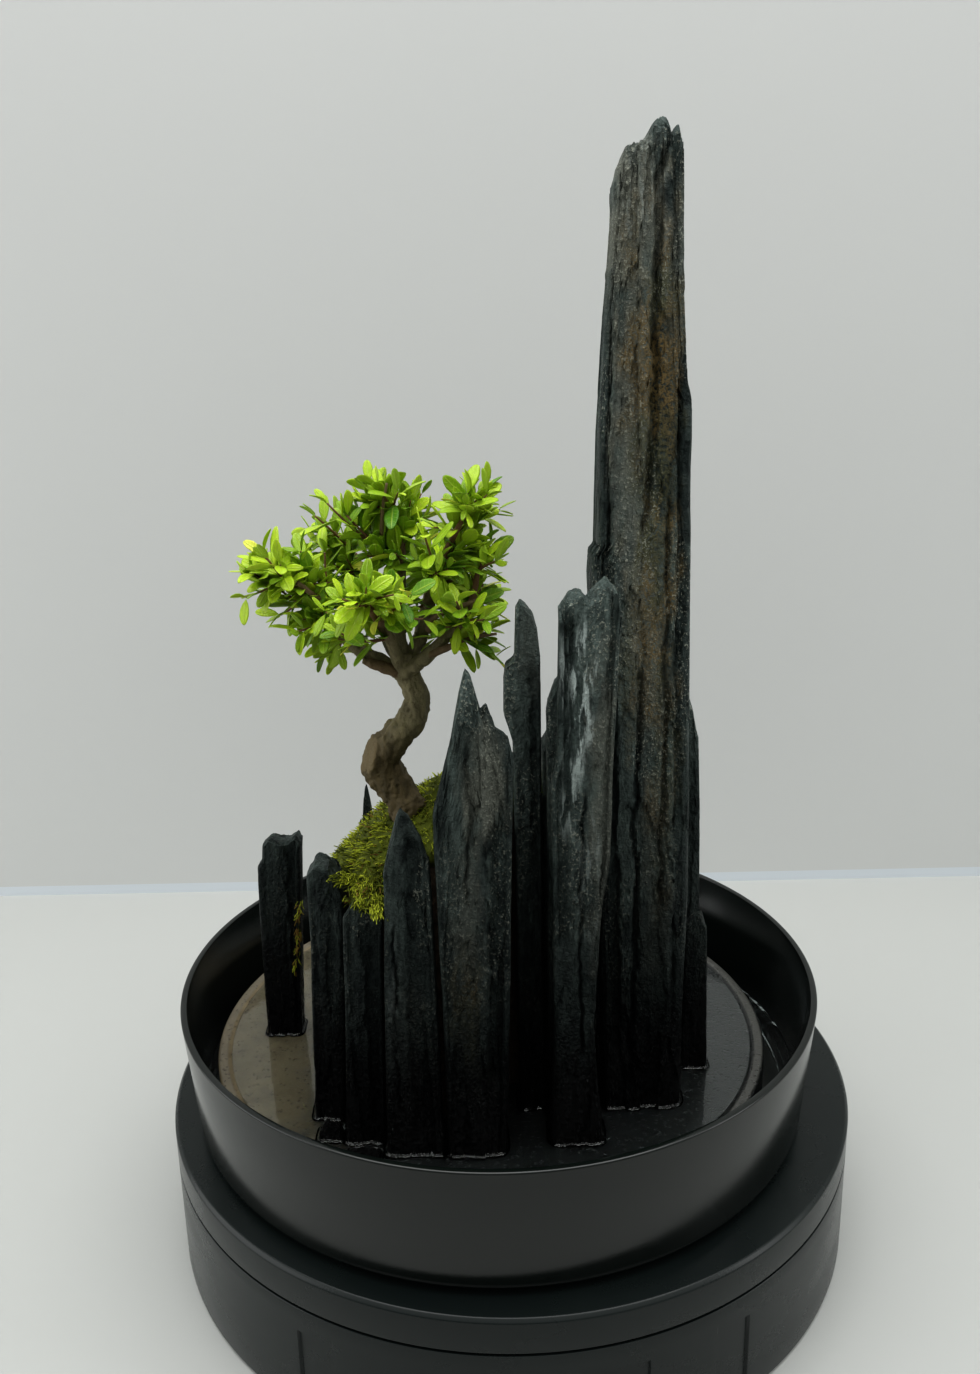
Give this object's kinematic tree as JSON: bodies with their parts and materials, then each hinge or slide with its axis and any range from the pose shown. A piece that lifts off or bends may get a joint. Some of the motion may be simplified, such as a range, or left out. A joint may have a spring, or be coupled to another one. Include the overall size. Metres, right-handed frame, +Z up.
{
  "type": "bonsai tree in a pot",
  "caption": "Small-leaved bonsai rooted in moss on a group of upright black slate stones, standing on a wet cement slab in a round black water basin on a wider round base.",
  "frame": {"origin": "the middle of the base's flat underside", "axes": "+Z up; +Y away from the front, the side with the button; +X to the right as seen from the front"},
  "size_m": [0.33, 0.33, 0.4895],
  "materials": {
    "base_plastic": "satin black moulded plastic",
    "basin_plastic": "satin black plastic, glossier than the base",
    "button": "gloss black push button",
    "cement": "sandy cement, wet and dark where the water stands",
    "water": "still dark water, mirror smooth",
    "soil": "dark damp soil",
    "moss": "yellow-green feathery moss",
    "bark": "brown rough bark, greyer and smoother above",
    "slate": "near-black split slate with brown and white mineral patches",
    "leaf": "small glossy leaves on reddish twigs"
  },
  "bodies": {
    "root": {"base_housing": "base_plastic", "base_cover": "base_plastic", "front_button": "button", "basin": "basin_plastic", "cement_slab": "cement", "moat_water": "water", "dish_water": "water", "soil": "soil", "moss_cushion": "moss", "moss_drape": "moss", "moss_strand": "moss", "trunk_and_limbs": "bark", "stone_peak": "slate", "stone_shield": "slate", "stone_spire": "slate", "stone_wedge": "slate", "stone_rear": "slate", "stone_fang": "slate", "stone_blade": "slate", "stone_low": "slate", "stone_step": "slate", "stone_flank": "slate", "stone_left": "slate", "stone_needle": "slate", "stone_back_left": "slate", "stone_back_right": "slate", "stone_right": "slate", "stone_right_low": "slate", "stone_flake": "slate", "stone_chip": "slate", "spray_01": "leaf", "spray_02": "leaf", "spray_03": "leaf", "spray_04": "leaf", "spray_05": "leaf", "spray_06": "leaf", "spray_07": "leaf", "spray_08": "leaf", "spray_09": "leaf", "spray_10": "leaf", "spray_11": "leaf", "spray_12": "leaf", "spray_13": "leaf", "spray_14": "leaf", "spray_15": "leaf", "spray_16": "leaf", "spray_17": "leaf", "spray_18": "leaf", "spray_19": "leaf", "spray_20": "leaf", "spray_21": "leaf", "spray_22": "leaf", "spray_23": "leaf", "spray_24": "leaf", "spray_25": "leaf"}
  },
  "joints": []
}
